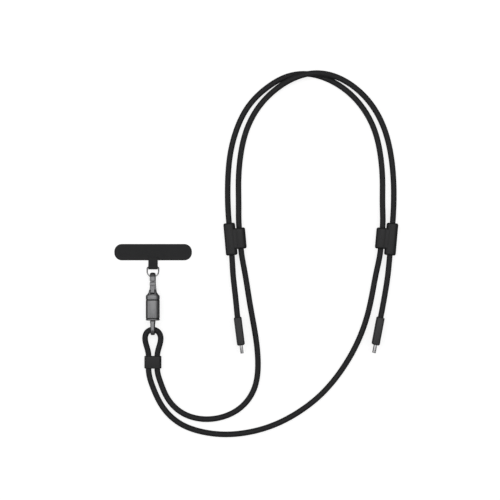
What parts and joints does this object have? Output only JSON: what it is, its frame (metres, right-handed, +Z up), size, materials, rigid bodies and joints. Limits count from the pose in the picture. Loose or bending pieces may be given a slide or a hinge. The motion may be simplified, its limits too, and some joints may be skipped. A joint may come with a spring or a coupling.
{
  "type": "charging cable lanyard",
  "caption": "Neck lanyard made of a braided charging cable with a plug at each end, two sliders, a keeper, and a swivel snap hook with a D-ring and a flat anchor pad",
  "frame": {"origin": "on the surface that it lies on, under the middle of its hard pieces' box", "axes": "+X across the lanyard from the clasp towards the right slider, +Y from the keeper up to the neck loop, +Z up from the surface"},
  "size_m": [0.2353, 0.3034, 0.0115],
  "materials": {
    "black_braid": "matt, braided",
    "satin_black_plastic": "satin",
    "plug_plastic": "satin",
    "gunmetal": "satin, dark plated",
    "polished_steel": "polished",
    "black_pad": "matt, fine grain"
  },
  "bodies": {
    "cord_side": {"charging_cable": "black_braid", "left_plug_housing": "plug_plastic", "left_plug_shell": "polished_steel", "right_plug_housing": "plug_plastic", "right_plug_shell": "polished_steel", "left_slider": "satin_black_plastic", "right_slider": "satin_black_plastic", "loop_keeper": "satin_black_plastic", "swivel_eye": "gunmetal"},
    "clasp_side": {"barrel_sleeve": "gunmetal", "barrel_end_cap": "gunmetal", "clasp_hook": "gunmetal", "gate_pin": "gunmetal", "d_ring": "polished_steel", "anchor_pad": "black_pad"},
    "gate": {"clasp_gate": "gunmetal"}
  },
  "joints": [
    {"name": "swivel", "type": "hinge", "parent": "cord_side", "child": "clasp_side", "pos_m": [-0.0855, -0.018, 0.00575], "axis": [0, 1, 0], "continuous": true},
    {"name": "gate_hinge", "type": "hinge", "parent": "clasp_side", "child": "gate", "pos_m": [-0.0855, 0.003, 0.0089], "axis": [-1, 0, 0], "range_deg": [0, 30], "stiffness_Nm_per_rad": 0.002, "springref_deg": -17.19}
  ]
}
